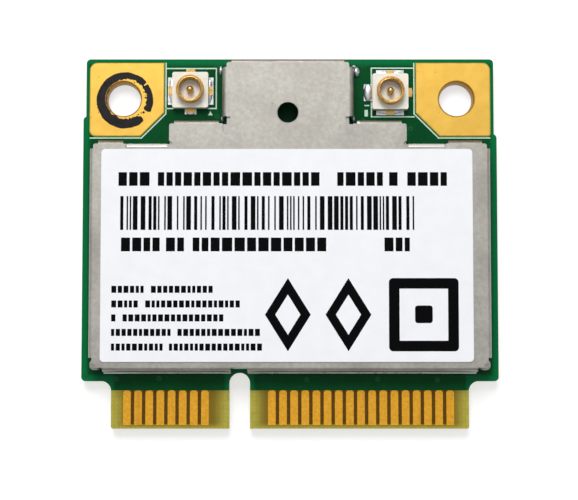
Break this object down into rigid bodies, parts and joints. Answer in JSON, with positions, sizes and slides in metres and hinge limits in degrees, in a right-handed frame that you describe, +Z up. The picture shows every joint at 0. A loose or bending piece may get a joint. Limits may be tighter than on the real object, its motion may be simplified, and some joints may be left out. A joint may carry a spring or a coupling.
{
  "type": "mini pcie wifi card",
  "caption": "Half-length plug-in radio card with a shielded circuit, two antenna sockets, an edge connector with a key notch and two plated mounting holes.",
  "frame": {"origin": "underside of the card, in the middle of its outline", "axes": "+X along the card's width, +Y from the contact edge towards the mounting holes, +Z up out of the component side"},
  "size_m": [0.03, 0.0268, 0.0028],
  "materials": {
    "laminate": "satin",
    "solder_mask": "gloss",
    "gold_plate": "satin",
    "tinned_steel": "satin",
    "solder": "satin",
    "label_paper": "satin",
    "socket_plastic": "matte",
    "moulding_black": "matte",
    "ferrite": "matte",
    "capacitor_ceramic": "matte"
  },
  "bodies": {
    "root": {"laminate": "laminate", "mask_top": "solder_mask", "mask_bottom": "solder_mask", "land_left": "gold_plate", "land_right": "gold_plate", "contacts_top_short": "gold_plate", "contacts_top_long": "gold_plate", "contacts_bottom_short": "gold_plate", "contacts_bottom_long": "gold_plate", "shield_fence": "tinned_steel", "fence_solder": "solder", "shield_lid": "tinned_steel", "label": "label_paper", "socket_base_left": "socket_plastic", "socket_ring_left": "gold_plate", "socket_pin_left": "gold_plate", "socket_solder_left": "solder", "socket_base_right": "socket_plastic", "socket_ring_right": "gold_plate", "socket_pin_right": "gold_plate", "socket_solder_right": "solder", "radio_chip": "moulding_black", "radio_chip_terminals": "solder", "memory_chip": "moulding_black", "memory_chip_leads": "solder", "crystal": "tinned_steel", "amplifiers": "moulding_black", "antenna_switch": "moulding_black", "inductors": "ferrite", "capacitors": "capacitor_ceramic", "capacitor_ends": "solder", "resistors": "ferrite", "part_solder": "solder"}
  },
  "joints": []
}
